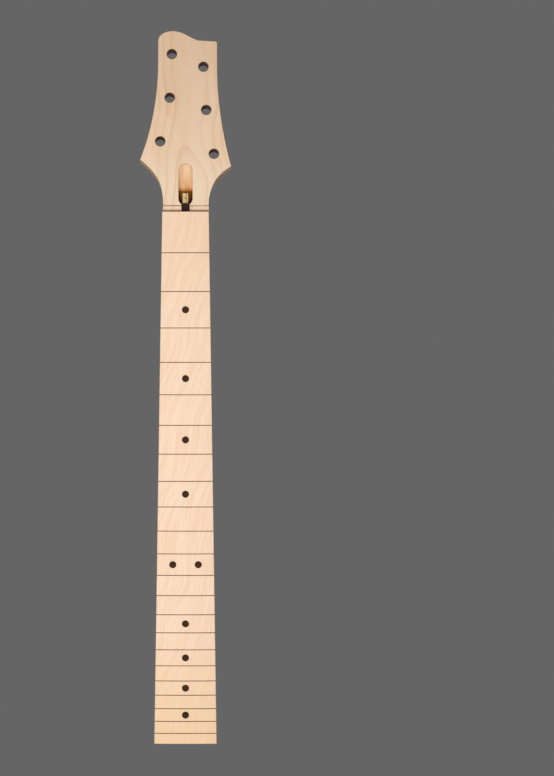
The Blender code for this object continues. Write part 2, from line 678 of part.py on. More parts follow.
def make_truss_rod(parts, cutters, steel, brass, black):
    """Bar, screw, end blocks, sleeve and the adjusting nut at the head."""
    rear_z = NUT_Z - ROD_REAR_END
    sleeve_low = rear_z + BLOCK_LENGTH + ROD_GAP
    sleeve_high = NUT_Z + SLEEVE_ABOVE_NUT
    sleeve_middle = (sleeve_low + sleeve_high) / 2
    sleeve_half = (sleeve_high - sleeve_low) / 2
    middle_y = JOINT_Y + ROD_GAP + SLEEVE_HEIGHT / 2
    inner_width = SLEEVE_WIDTH - 2 * SLEEVE_WALL
    inner_height = SLEEVE_HEIGHT - 2 * SLEEVE_WALL

    across = frame_at(Vector((0, 0, sleeve_middle)), X_AXIS, Y_AXIS)
    outer = rounded_rectangle(SLEEVE_WIDTH, SLEEVE_HEIGHT, SLEEVE_CORNER, middle_y)
    inner = rounded_rectangle(inner_width, inner_height, SLEEVE_CORNER - SLEEVE_WALL, middle_y)
    sleeve = extruded_outline("truss_rod_sleeve", outer, sleeve_half, across, parts, black)
    hollow = extruded_outline("sleeve_cutter", inner, sleeve_half + CUT_MARGIN, across, cutters)
    combine(sleeve, hollow)

    block_half = inner_width / 2 - SLIDE_GAP
    block_front = middle_y - inner_height / 2 + SLIDE_GAP
    block_back = middle_y + inner_height / 2 - SLIDE_GAP
    front_low = sleeve_high - BLOCK_LENGTH
    bore = cylinder(
        "bore_cutter",
        SCREW_DIAMETER / 2 + SLIDE_GAP,
        2 * ROD_REAR_END,
        Matrix.Translation((0, SCREW_Y, (rear_z + sleeve_high) / 2)),
        cutters,
        segments=16,
    )
    spans = (("rear", rear_z, rear_z + BLOCK_LENGTH), ("front", front_low, sleeve_high))
    for end, low, high in spans:
        block = box(
            f"truss_rod_{end}_block",
            (-block_half, block_front, low),
            (block_half, block_back, high),
            parts,
            brass,
        )
        combine(block, bore)

    box(
        "truss_rod_bar",
        (-BAR_WIDTH / 2, block_front, rear_z + BLOCK_LENGTH + ROD_GAP),
        (BAR_WIDTH / 2, block_front + BAR_HEIGHT, front_low - ROD_GAP),
        parts,
        steel,
    )

    screw_low = rear_z + ROD_GAP
    cylinder(
        "truss_rod_screw",
        SCREW_DIAMETER / 2,
        sleeve_high - screw_low,
        Matrix.Translation((0, SCREW_Y, (sleeve_high + screw_low) / 2)),
        parts,
        steel,
        segments=16,
    )
    make_rod_nut(parts, cutters, brass, sleeve_high + ROD_GAP)


def make_rod_nut(parts, cutters, brass, low):
    """Barrel nut turned from brass, with a hexagon socket for the key."""
    radius = ROD_NUT_DIAMETER / 2
    high = ROD_NUT_LENGTH
    profile = [
        (0.0, high),
        (radius - ROD_NUT_CHAMFER, high),
        (radius, high - ROD_NUT_CHAMFER),
        (radius, ROD_NUT_CHAMFER),
        (radius - ROD_NUT_CHAMFER, 0.0),
        (0.0, 0.0),
    ]
    mesh = bpy.data.meshes.new("truss_rod_nut")
    edges = [(i, i + 1) for i in range(len(profile) - 1)]
    mesh.from_pydata([(x, 0, z) for x, z in profile], edges, [])
    mesh.materials.append(brass)
    nut = bpy.data.objects.new("truss_rod_nut", mesh)
    parts.objects.link(nut)
    nut.location = (0, SCREW_Y, low)
    turn = nut.modifiers.new("turned", "SCREW")
    turn.steps = 24
    turn.render_steps = 24
    turn.use_merge_vertices = True
    turn.merge_threshold = 0.00001
    turn.use_smooth_shade = False

    key_radius = KEY_SIZE / math.sqrt(3)
    centre = Vector((0, SCREW_Y, low + high))
    socket = cylinder(
        "key_cutter", key_radius, 2 * KEY_DEPTH, Matrix.Translation(centre), cutters, segments=6
    )
    combine(nut, socket)


def main():
    """Builds the whole neck."""
    for existing in list(bpy.data.objects):
        bpy.data.objects.remove(existing)
    parts = bpy.data.collections.new("guitar_neck")
    cutters = bpy.data.collections.new("cutters")
    for collection in (parts, cutters):
        bpy.context.scene.collection.children.link(collection)

    maple = new_material("maple_neck", (0.82, 0.62, 0.45), 0.5)
    board_maple = new_material("maple_board", (0.88, 0.66, 0.48), 0.45)
    dot_brown = new_material("dot_inlay", (0.025, 0.014, 0.010), 0.35)
    side_black = new_material("side_dot", (0.015, 0.013, 0.012), 0.35)
    steel = new_material("rod_steel", (0.45, 0.45, 0.46), 0.35, 1.0)
    brass = new_material("rod_brass", (0.78, 0.60, 0.28), 0.3, 1.0)
    black = new_material("rod_sleeve", (0.02, 0.02, 0.024), 0.6)

    make_blank(parts, cutters, maple)
    make_board(parts, cutters, board_maple, dot_brown, side_black)
    make_truss_rod(parts, cutters, steel, brass, black)


main()
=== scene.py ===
import math

import bmesh
import bpy
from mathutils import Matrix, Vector


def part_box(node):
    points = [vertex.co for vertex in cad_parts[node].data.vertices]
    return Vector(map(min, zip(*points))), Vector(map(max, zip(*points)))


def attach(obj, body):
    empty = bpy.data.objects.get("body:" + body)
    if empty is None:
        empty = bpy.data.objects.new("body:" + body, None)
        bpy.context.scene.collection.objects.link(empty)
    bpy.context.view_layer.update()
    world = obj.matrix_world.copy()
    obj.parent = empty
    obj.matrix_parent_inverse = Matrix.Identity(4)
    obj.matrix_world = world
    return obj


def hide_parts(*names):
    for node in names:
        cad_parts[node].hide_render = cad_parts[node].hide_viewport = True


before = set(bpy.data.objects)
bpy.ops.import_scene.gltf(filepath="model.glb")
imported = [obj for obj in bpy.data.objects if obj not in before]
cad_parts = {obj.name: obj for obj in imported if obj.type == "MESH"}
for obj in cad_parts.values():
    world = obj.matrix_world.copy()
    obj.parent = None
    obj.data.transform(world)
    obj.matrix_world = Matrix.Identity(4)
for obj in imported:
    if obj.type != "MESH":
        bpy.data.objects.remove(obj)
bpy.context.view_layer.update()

# Sizes of the CAD that the dressed pieces follow, in metres
board_thickness = 0.00635
shelf_length = 0.0048
face_step = 0.00085
nut_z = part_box("fingerboard")[1].z
board_end_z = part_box("fingerboard")[0].z
crown_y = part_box("fingerboard")[0].y
joint_y = crown_y + board_thickness
crease_z = nut_z + shelf_length
face_y = joint_y + face_step
glue_gap = 0.0003
scale_length = 0.6477
fret_count = 22
slot_half_width = 0.00029
slot_depth = 0.0025
radius_at_nut = 0.254
radius_at_end = 0.4064
dot_radius = 0.003175
side_dot_radius = 0.001
pocket_gap = 0.0003
tilt = math.radians(10)
head_up = Vector((0, math.sin(tilt), math.cos(tilt)))
head_back = Vector((0, math.cos(tilt), -math.sin(tilt)))
head_thickness = 0.0143
bass_tip = 0.0423
treble_tip = 0.0361
trough_half_width = 0.0063
trough_length = 0.039
tuner_hole_radius = 0.00873 / 2
pilot_radius = 0.0016
pilot_depth = 0.015

# Screw holes as x and z, and tuner holes as x and height up the head's face
pilots = ((-0.01905, -0.0254), (-0.01905, 0.0254), (0.01905, -0.0254), (0.01905, 0.0254))
tuner_holes = (
    (-0.0225, 0.0588),
    (-0.0141, 0.0985),
    (-0.0122, 0.1383),
    (0.0253, 0.0475),
    (0.0185, 0.0873),
    (0.0160, 0.1267),
)

# Allowances for the modelling, in metres: a hair is what an inlay stands proud, and near is
# how close a face is to a place that it counts as part of
merge_distance = 0.00001
hair = 0.00002
near = 0.0001
hole_ease = 0.00015
flat_angle = math.radians(0.4)

# The plain grey behind the object
backdrop_level = 101


def place_camera():
    """Just below the nut's level, looking down a little, with the neck left of the middle."""
    image_height = 776
    focal_pixels = 2700
    shift_pixels = 91.5
    sensor_width = 36
    distance = 2.3959
    below_nut = 0.0279
    degrees_down = 3.07
    lens = bpy.data.cameras.new("photo_camera")
    lens.sensor_width = sensor_width
    lens.lens = focal_pixels * sensor_width / image_height
    lens.shift_x = shift_pixels / image_height
    lens.clip_start = 0.01
    lens.clip_end = 20
    camera = bpy.data.objects.new("photo_camera", lens)
    camera.location = (0, crown_y - distance, nut_z - below_nut)
    camera.rotation_euler = (math.radians(90 - degrees_down), 0, 0)
    bpy.context.scene.collection.objects.link(camera)
    bpy.context.scene.camera = camera


class Tone:
    """A shader socket that arithmetic can be written on."""

    def __init__(self, finish, socket):
        self.finish = finish
        self.socket = socket

    def worked(self, operation, *others):
        return self.finish.node("Math", {"operation": operation}, [self, *others])

    def __add__(self, other):
        return self.worked("ADD", other)

    __radd__ = __add__

    def __mul__(self, other):
        return self.worked("MULTIPLY", other)

    __rmul__ = __mul__

    def __sub__(self, other):
        return self.worked("SUBTRACT", other)

    def __rsub__(self, other):
        return self.finish.node("Math", {"operation": "SUBTRACT"}, [other, self])

    def __truediv__(self, other):
        return self.worked("DIVIDE", other)

    def __pow__(self, other):
        return self.worked("POWER", other)

    def root(self):
        return self.worked("SQRT")

    def size(self):
        return self.worked("ABSOLUTE")

    def part_after_point(self):
        return self.worked("FRACT")

    def least(self, other):
        return self.worked("MINIMUM", other)

    def most(self, other):
        return self.worked("MAXIMUM", other)

    def rise(self, low, high):
        """0 below low, 1 above high, and smooth between them."""
        return self.finish.node(
            "MapRange",
            {"interpolation_type": "SMOOTHSTEP"},
            {"Value": self, "From Min": low, "From Max": high, "To Min": 0.0, "To Max": 1.0},
        )


class Finish:
    """A material under way, with its shader and a place for its nodes."""

    def __init__(self, name):
        self.material = bpy.data.materials.new(name)
        self.material.use_nodes = True
        self.tree = self.material.node_tree
        self.shader = self.tree.nodes["Principled BSDF"]
        self.place = self.node("TexCoord", {}, {}, "Object")
        self.x, self.y, self.z = self.parts(self.place)

    def node(self, kind, settings, values, output=0):
        """Adds a node, its settings first, then its sockets, and gives one output."""
        made = self.tree.nodes.new("ShaderNode" + kind)
        for name, value in settings.items():
            setattr(made, name, value)
        pairs = values.items() if isinstance(values, dict) else enumerate(values)
        for name, value in pairs:
            self.feed(made.inputs[name], value)
        return Tone(self, made.outputs[output])

    def feed(self, socket, value):
        if isinstance(value, Tone):
            self.tree.links.new(value.socket, socket)
        elif socket.type == "RGBA":
            socket.default_value = (*value, 1)
        else:
            socket.default_value = value

    def parts(self, vector):
        made = self.tree.nodes.new("ShaderNodeSeparateXYZ")
        self.feed(made.inputs[0], vector)
        return [Tone(self, output) for output in made.outputs]

    def vector(self, x, y, z):
        return self.node("CombineXYZ", {}, [x, y, z])

    def scaled(self, sizes):
        """Object coordinates times a size for each axis."""
        return self.node("VectorMath", {"operation": "MULTIPLY"}, [self.place, sizes])

    def cloud(self, sizes, detail=2.0, roughness=0.5, distortion=0.0):
        """Noise from 0 to 1, with its repeats per metre along each axis."""
        return self.node(
            "TexNoise",
            {"normalize": True},
            {
                "Vector": self.scaled(sizes),
                "Scale": 1.0,
                "Detail": detail,
                "Roughness": roughness,
                "Distortion": distortion,
            },
        )

    def blend(self, share, first, second):
        """Colour that goes from the first to the second."""
        made = self.tree.nodes.new("ShaderNodeMix")
        made.data_type = "RGBA"
        self.feed(made.inputs["Factor"], share)
        self.feed(made.inputs[6], first)
        self.feed(made.inputs[7], second)
        return Tone(self, made.outputs[2])

    def bump(self, height, distance, strength):
        values = {"Height": height, "Distance": distance, "Strength": strength}
        self.set(Normal=self.node("Bump", {}, values))

    def set(self, **values):
        for name, value in values.items():
            self.feed(self.shader.inputs[name.replace("_", " ")], value)


def srgb(red, green, blue):
    """Linear colour of screen values from 0 to 255."""
    shares = [value / 255 for value in (red, green, blue)]
    return tuple(s / 12.92 if s <= 0.04045 else ((s + 0.055) / 1.055) ** 2.4 for s in shares)


def growth_lines(wood, field, sharpness, end):
    """Dark late wood at the end of each ring, soft on one side and quick on the other."""
    ring = field.part_after_point()
    return ring**sharpness * (1 - ring.rise(end, 1.0))


def on_head(wood, way):
    """Distance from the crease along one of the head's directions."""
    return (wood.y - face_y) * way.y + (wood.z - crease_z) * way.z


def hole_rim_shade(wood):
    """1 round the edge of each tuner hole and 0 further out, where shade is painted."""
    height = on_head(wood, head_up)
    rims = []
    for x, centre_height in tuner_holes:
        away = ((wood.x - x) ** 2 + (height - centre_height) ** 2).root()
        rims.append(1 - away.rise(tuner_hole_radius + 0.0001, tuner_hole_radius + 0.0009))
    rim = rims[0]
    for other in rims[1:]:
        rim = rim.most(other)
    return rim


def maple_wood(name):
    """Flat-sawn maple: wandering growth lines, faint figure and short pores."""
    wood = Finish(name)
    sway = (wood.cloud((2, 2, 13), 1.0) - 0.5) * 0.03
    across = (wood.x - 0.003 - sway) * 2.2
    from_pith = (across**2 + ((wood.y + 0.085) * 0.6) ** 2).root() + wood.z * 0.015
    waves = wood.cloud((22, 22, 9), 1.0, 0.4) * 2.4 + wood.cloud((3, 3, 7), 1.0) * 3.5
    lines = growth_lines(wood, from_pith / 0.012 + waves, 5, 0.86)
    strong = wood.cloud((30, 30, 11), 1.0).rise(0.36, 0.66)
    fibre = wood.cloud((1400, 1400, 42), 3.0, 0.6)
    pores = wood.cloud((900, 900, 110), 2.0).rise(0.6, 0.74)
    figure = wood.cloud((70, 60, 9), 3.0, 0.55).rise(0.32, 0.7)
    blush = wood.cloud((75, 60, 14), 2.0).rise(0.5, 0.72)
    colour = wood.blend(figure, srgb(253, 221, 189), srgb(249, 213, 177))
    colour = wood.blend(blush * 0.5, colour, srgb(247, 200, 160))

    # Painted light and shade: the head is painted browner towards its top and at its back as shade,
    # and the heel and the face's foot paler as light
    front = 1 - on_head(wood, head_back).rise(0.002, 0.004)
    painted_top_shade = wood.z.rise(crease_z + 0.06, crease_z + 0.15)
    colour = wood.blend(painted_top_shade * 0.4, colour, srgb(240, 202, 166))
    painted_rear_shade = wood.z.rise(crease_z - 0.02, crease_z + 0.05) * (1 - front)
    colour = wood.blend(painted_rear_shade * 0.4, colour, srgb(242, 196, 156))
    painted_heel_light = 1 - wood.z.rise(-0.02, 0.28)
    colour = wood.blend(painted_heel_light * 0.7, colour, srgb(255, 234, 210))
    past_board = wood.z.rise(nut_z - 0.005, nut_z)
    painted_foot_light = past_board * (1 - wood.z.rise(crease_z + 0.01, crease_z + 0.07))
    colour = wood.blend(painted_foot_light * front * 0.7, colour, srgb(255, 230, 201))

    colour = wood.blend(lines * (0.1 + strong * 0.52), colour, srgb(214, 150, 96))
    colour = wood.blend(pores * 0.14 + fibre.rise(0.55, 0.8) * 0.1, colour, srgb(214, 164, 124))
    # Painted shade round the rims of the tuner holes
    colour = wood.blend(hole_rim_shade(wood) * 0.6, colour, srgb(110, 66, 40))
    wood.bump(fibre - lines * 0.4, 0.00003, 0.5)
    wood.colour = colour
    wood.fibre = fibre
    return wood


def neck_maple():
    """The blank's maple, with painted shade lines in the corners at the crease and at the board's
    end.
    """
    wood = maple_wood("flat_sawn_maple")
    uneven = wood.cloud((90, 90, 300), 2.0).rise(0.3, 0.65)
    # Painted shade: thin dark lines where shade falls in the corners at the crease and at the
    # board's end
    crease = 1 - (wood.z - crease_z - 0.0007).size().rise(0.0003, 0.0008)
    board_end = 1 - (wood.z - nut_z - 0.0006).size().rise(0.0005, 0.0011)
    in_front = 1 - wood.y.rise(joint_y + 0.0009, joint_y + 0.0012)
    shelf = wood.z.rise(nut_z - 0.0005, nut_z) * (1 - wood.z.rise(crease_z, crease_z + 0.0004))
    colour = wood.blend(shelf * in_front * 0.1, wood.colour, srgb(222, 160, 100))
    lines = (crease * (0.4 + uneven * 0.4)).most(board_end * 0.85) * in_front
    colour = wood.blend(lines, colour, srgb(136, 82, 38))
    wood.set(Base_Color=colour, Roughness=0.55 + wood.fibre * 0.12)
    wood.set(Specular_IOR_Level=0.25)
    return wood.material


def edge_maple():
    """The head's sanded edges: matt, and painted browner up the head, mostly as painted shade on
    these walls and partly as the browner tone of end grain.
    """
    wood = maple_wood("shaded_sanded_edge_maple")
    # Painted shade on the head's walls, stronger further up the head
    away = on_head(wood, head_up).rise(0.013, 0.024)
    colour = wood.blend(away * 0.6, wood.colour, srgb(150, 104, 70))
    wood.set(Base_Color=colour, Roughness=0.62 + wood.fibre * 0.12)
    wood.set(Specular_IOR_Level=0.1)
    return wood.material


def trough_maple():
    """The key's trough: an orange floor, deeper orange towards its foot, painted shade by its walls
    and at its top end, and a dark pocket at its foot that is partly scorch and partly painted
    shade.
    """
    wood = Finish("scorched_and_shaded_maple")
    fibre = wood.cloud((1100, 1100, 60), 3.0, 0.6)
    mottle = wood.cloud((420, 420, 260), 3.0, 0.6)
    wisps = wood.cloud((520, 520, 110), 3.0, 0.65, 0.6).rise(0.5, 0.68)
    uneven = (wood.cloud((500, 500, 120), 2.0) - 0.5) * 0.004
    height = wood.z - crease_z + uneven
    # At the foot the deep pocket is painted dark: partly scorch from the cutter and partly painted
    # shade
    scorch_and_shade = 1 - height.rise(0.0125, 0.0175)
    side = wood.x.size().rise(0.0026, 0.0063)
    top = (wood.z - crease_z).rise(trough_length - 0.0045, trough_length - 0.0005)
    # Painted shade on the floor beside the walls, further up the trough
    bass_side = wood.x.rise(-0.0061, -0.0045) * (1 - wood.x.rise(-0.0036, 0.0002))
    treble_side = wood.x.rise(0.0022, 0.0054)
    wall_shade = bass_side.most(treble_side) * height.rise(0.016, 0.026)
    clean = wood.blend(height.rise(0.018, 0.034), srgb(243, 190, 138), srgb(255, 216, 172))
    clean = wood.blend(wall_shade, clean, srgb(230, 192, 151))
    # Painted shade at the trough's top end
    clean = wood.blend(top * 0.8, clean, srgb(218, 187, 150))
    clean = wood.blend(wisps * (1 - height.rise(0.016, 0.03)) * 0.5, clean, srgb(140, 92, 58))
    # Darkest at the bottom of the pocket, as painted shade
    burnt_and_shaded = wood.blend(height.rise(0.003, 0.014), srgb(84, 36, 4), srgb(176, 98, 8))
    burnt_and_shaded = wood.blend(mottle.rise(0.35, 0.7) * 0.4, burnt_and_shaded, srgb(198, 120, 24))
    # Painted shade by the pocket's walls, near black
    burnt_and_shaded = wood.blend(side * 0.75, burnt_and_shaded, srgb(58, 22, 3))
    colour = wood.blend(scorch_and_shade, clean, burnt_and_shaded)
    colour = wood.blend(fibre.rise(0.5, 0.8) * 0.25, colour, srgb(120, 72, 40))
    wood.set(Base_Color=colour, Roughness=0.7 + fibre * 0.15)
    wood.set(Specular_IOR_Level=0.1)
    wood.bump(fibre + mottle * 0.5, 0.00008, 0.6)
    return wood.material


def shaded_bored_maple():
    """Drilled walls: painted dark as the shade inside the holes, partly the browner tone of drilled
    grain, with the bit's fine rings.
    """
    wood = Finish("shaded_bored_maple")
    rings = wood.cloud((300, 2600, 300), 2.0)
    fibre = wood.cloud((700, 500, 90), 3.0, 0.6)
    colour = wood.blend(fibre.rise(0.35, 0.7), srgb(88, 48, 30), srgb(118, 72, 48))
    wood.set(Base_Color=colour, Roughness=0.75 + rings * 0.1)
    wood.bump(rings + fibre, 0.00005, 0.5)
    return wood.material


def slot_rims(wood):
    """1 at the fret slots and 0 between them, from the fret that each place would have."""
    left = 1 - (nut_z - wood.z) / scale_length
    fret = wood.node("Math", {"operation": "LOGARITHM"}, [left, 2]) * -12
    nearest = wood.node("Math", {"operation": "ROUND"}, [fret])
    away = (fret - nearest).size() * left * (scale_length * math.log(2) / 12)
    return (1 - away.rise(0.0003, 0.0009)) * fret.rise(0.4, 0.5)


def board_maple():
    """Maple of the board: leaning flames of figure, faint lines and fine pores."""
    wood = Finish("figured_maple")
    sway = (wood.cloud((20, 20, 5), 2.0) - 0.5) * 0.016
    field = (wood.x + wood.z * -0.045 + wood.y * 0.4 + sway) / 0.0034
    lines = growth_lines(wood, field, 4, 0.88)
    strong = wood.cloud((70, 70, 10), 1.0).rise(0.4, 0.72)
    fibre = wood.cloud((1600, 1600, 50), 3.0, 0.6)
    pores = wood.cloud((1000, 1000, 130), 2.0).rise(0.6, 0.74)
    lean = wood.x - wood.z * 0.3 + (wood.cloud((14, 14, 14), 1.0) - 0.5) * 0.03
    streaks = wood.vector(lean * 420, wood.y * 60, wood.z * 32)
    flames = wood.node("TexNoise", {}, {"Vector": streaks, "Scale": 1.0, "Detail": 3.0})
    colour = wood.blend(flames.rise(0.35, 0.68), srgb(254, 223, 195), srgb(250, 213, 182))
    colour = wood.blend(lines * (0.06 + strong * 0.24), colour, srgb(222, 174, 134))
    colour = wood.blend(pores * 0.14 + fibre.rise(0.55, 0.8) * 0.12, colour, srgb(222, 176, 138))
    ends = (1 - wood.z.rise(-0.035, 0.06)).most(wood.z.rise(0.3, nut_z) * 0.4)
    colour = wood.blend(ends * 0.6, colour, srgb(250, 210, 164))
    # Painted shade: a brown line along the rim of each fret slot
    top = 1 - wood.y.rise(crown_y + 0.0009, crown_y + 0.0012)
    colour = wood.blend(slot_rims(wood) * top * 0.2, colour, srgb(184, 104, 50))
    under = wood.y.rise(joint_y - 0.0012, joint_y - 0.0004)
    colour = wood.blend(under * 0.7, colour, srgb(232, 172, 118))
    wood.set(Base_Color=colour, Roughness=0.52 + fibre * 0.12)
    wood.set(Specular_IOR_Level=0.25)
    wood.bump(fibre, 0.000025, 0.5)
    return wood.material


def shaded_sawn_maple():
    """Walls of the fret slots: painted dark brown as the shade inside the narrow slots, partly
    browned by the saw.
    """
    wood = Finish("shaded_sawn_maple")
    fibre = wood.cloud((900, 900, 900), 3.0, 0.6)
    wood.set(Base_Color=wood.blend(fibre.rise(0.35, 0.7), srgb(116, 46, 2), srgb(154, 76, 10)))
    wood.set(Roughness=0.75 + fibre * 0.1, Specular_IOR_Level=0.1)
    return wood.material


def dark_inlay(name, colour):
    """Dark plastic sanded flush, with fine marks along the neck."""
    plastic = Finish(name)
    marks = plastic.cloud((2500, 2500, 160), 2.0, 0.6)
    mottle = plastic.cloud((400, 400, 300), 2.0)
    lighter = tuple(value * 1.5 + 0.003 for value in colour)
    plastic.set(Base_Color=plastic.blend(mottle.rise(0.4, 0.7) * 0.6, colour, lighter))
    plastic.set(Roughness=0.5 + marks * 0.2)
    plastic.set(Specular_IOR_Level=0.15)
    plastic.bump(marks, 0.00001, 0.5)
    return plastic.material


def turned_brass():
    """Turned brass: painted highlights on its flanks, a band between them painted darker as a dark
    reflection and patchy with tarnish, and painted shade at its sides.
    """
    brass = Finish("turned_brass")
    turns = brass.cloud((300, 300, 5200), 1.0)
    stain = brass.cloud((700, 700, 520), 3.0)
    # Painted highlight: the flanks are painted bright, as lamps reflected in a turned barrel
    highlight_flank = brass.x.size().rise(0.0007, 0.0015)
    # Between the flanks: painted dark reflection, with tarnish in random patches
    tarnish_and_dark_reflection = ((1 - highlight_flank) * 0.55 + stain.rise(0.42, 0.66) * (0.5 - highlight_flank * 0.35)).least(1.0)
    colour = brass.blend(tarnish_and_dark_reflection, (1.0, 0.79, 0.46), (0.38, 0.23, 0.05))
    # Painted shade at the nut's outer sides
    side = brass.x.size().rise(0.0023, 0.0028)
    colour = brass.blend(side * 0.7, colour, (0.30, 0.17, 0.04))
    brass.set(Base_Color=colour, Metallic=0.55 - highlight_flank * 0.5, Roughness=0.4 + tarnish_and_dark_reflection * 0.2)
    brass.bump(turns, 0.00002, 0.4)
    return brass.material


def rod_steel():
    """Bright drawn steel, with fine marks along the rod."""
    steel = Finish("drawn_steel")
    drawn = steel.cloud((3200, 3200, 60), 2.0)
    colour = steel.blend(drawn, (0.42, 0.42, 0.43), (0.55, 0.55, 0.56))
    steel.set(Base_Color=colour, Metallic=1.0, Roughness=0.3 + drawn * 0.15)
    steel.bump(drawn, 0.00001, 0.4)
    return steel.material


def shrink_sleeve():
    """Dark brown shrink tube, creased where it was drawn in."""
    sleeve = Finish("shrink_sleeve")
    creases = sleeve.cloud((700, 700, 300), 3.0, 0.6)
    colour = sleeve.blend(creases.rise(0.4, 0.7), srgb(38, 16, 6), srgb(66, 36, 20))
    sleeve.set(Base_Color=colour, Roughness=0.42 + creases * 0.25)
    sleeve.set(Specular_IOR_Level=0.12)
    sleeve.bump(creases, 0.00012, 0.5)
    return sleeve.material


# Modelling tools
def clear_selection():
    if bpy.context.object and bpy.context.object.mode != "OBJECT":
        bpy.ops.object.mode_set(mode="OBJECT")
    bpy.ops.object.select_all(action="DESELECT")


def take_up(piece):
    """Makes one piece the selected and active one."""
    clear_selection()
    piece.select_set(True)
    bpy.context.view_layer.objects.active = piece


def pick_all():
    bpy.ops.mesh.select_all(action="SELECT")


def merged_copy(node, name):
    """A copy of a CAD node whose loose triangles are joined and its flat faces made whole."""
    piece = bpy.data.objects.new(name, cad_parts[node].data.copy())
    bpy.context.scene.collection.objects.link(piece)
    take_up(piece)
    bpy.ops.mesh.customdata_custom_splitnormals_clear()
    bpy.ops.object.mode_set(mode="EDIT")
    pick_all()
    bpy.ops.mesh.remove_doubles(threshold=merge_distance)
    bpy.ops.mesh.dissolve_limited(angle_limit=flat_angle)
    return piece


def own_copy(master, name):
    """A copy of a finished shape with its own mesh."""
    piece = master.copy()
    piece.data = master.data.copy()
    piece.name = name
    bpy.context.scene.collection.objects.link(piece)
    return piece


def pick(piece, kind, test):
    """Selects what a test picks, in edit mode, and says whether there is any."""
    bpy.ops.mesh.select_all(action="DESELECT")
    bpy.ops.mesh.select_mode(type=kind)
    mesh = bmesh.from_edit_mesh(piece.data)
    items = {"FACE": mesh.faces, "EDGE": mesh.edges, "VERT": mesh.verts}[kind]
    picked = [item for item in items if test(item)]
    for item in picked:
        item.select_set(True)
    bmesh.update_edit_mesh(piece.data)
    return bool(picked)


def refill(piece, test):
    """Takes out the faces that a test picks, and closes the openings flat."""
    pick(piece, "FACE", test)
    bpy.ops.mesh.delete(type="FACE")
    pick_all()
    bpy.ops.mesh.fill_holes(sides=0)


def corner_between(first, second):
    """A test for edges between a face of one kind and a face of another."""

    def test(edge):
        if len(edge.link_faces) != 2:
            return False
        a, b = edge.link_faces
        return (first(a) and second(b)) or (first(b) and second(a))

    return test


def round_edges(piece, width, segments, index, test):
    """Rounds the edges that a test picks, in one of the piece's materials."""
    if pick(piece, "EDGE", test):
        bpy.ops.mesh.bevel(offset=width, segments=segments, clamp_overlap=False, material=index)


def give_faces(piece, index, test):
    """Gives the faces that a test picks another of the piece's materials."""
    if pick(piece, "FACE", test):
        piece.active_material_index = index
        bpy.ops.object.material_slot_assign()


def shade(piece, degrees):
    """Smooth faces with crisp edges, flat faces kept flat right up to their eased edges."""
    take_up(piece)
    bpy.ops.object.shade_smooth_by_angle(angle=math.radians(degrees))
    modifier = piece.modifiers.new("flat_faces", "WEIGHTED_NORMAL")
    modifier.keep_sharp = True
    bpy.ops.object.modifier_apply(modifier=modifier.name)


def dress(piece, *materials):
    """Gives a piece its materials, in order."""
    piece.data.materials.clear()
    for material in materials:
        piece.data.materials.append(material)


def settle(piece, body, slot, *nodes):
    """Ends a piece: its place in its mesh, the body it rides on and what it stands for."""
    take_up(piece)
    bpy.ops.object.transform_apply(location=True, rotation=True, scale=True)
    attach(piece, body)
    if nodes:
        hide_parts(*nodes)


# Places on the neck
def fret_z(number):
    return nut_z - scale_length * (1 - 2 ** (-number / 12))


def head_place(point):
    """x, height up the face and depth behind it, of a point."""
    from_crease = point - Vector((0, face_y, crease_z))
    return point.x, from_crease.dot(head_up), from_crease.dot(head_back)


def in_tuner_hole(point):
    x, height, depth = head_place(point)
    radius = tuner_hole_radius + hair
    return any(math.hypot(x - a, height - b) < radius for a, b in tuner_holes) and depth > -0.001


def board_radius(z):
    share = (nut_z - z) / (nut_z - board_end_z)
    return radius_at_nut + share * (radius_at_end - radius_at_nut)


def middle(face):
    return face.calc_center_median()


def drill(piece, cutters):
    """Bores the cutters' shapes out of a piece, which keeps their material's place in its list."""
    clear_selection()
    for cutter in cutters:
        cutter.select_set(True)
    bpy.context.view_layer.objects.active = cutters[0]
    bpy.ops.object.join()
    cut = piece.modifiers.new("bored", "BOOLEAN")
    cut.object = cutters[0]
    cut.solver = "EXACT"
    take_up(piece)
    bpy.ops.object.modifier_apply(modifier=cut.name)
    bpy.data.objects.remove(cutters[0])


def extrude_along_z(distance):
    bpy.ops.mesh.extrude_region_move(TRANSFORM_OT_translate={"value": (0, 0, distance)})


def bit(radius, length, materials, index, both_ends):
    """A drill's shape along z from 0 down to -length, wider by an ease where it enters the wood."""
    ease = hole_ease
    overshoot = 0.002
    clear_selection()
    bpy.ops.mesh.primitive_cylinder_add(vertices=64, radius=radius, depth=length - 2 * ease)
    cutter = bpy.context.object
    cutter.location = (0, 0, -length / 2)
    bpy.ops.object.transform_apply(location=True)
    dress(cutter, *materials)
    bpy.ops.object.mode_set(mode="EDIT")
    wide = (radius + ease) / radius
    ends = (1, -1) if both_ends else (1,)
    for way in ends:
        pick(cutter, "FACE", lambda face: face.normal.z * way > 0.9)
        for _ in range(2):
            extrude_along_z(ease * way)
            bpy.ops.transform.resize(value=(wide, wide, 1))
        extrude_along_z(overshoot * way)
    give_faces(cutter, index, lambda face: True)
    bpy.ops.object.mode_set(mode="OBJECT")
    return cutter


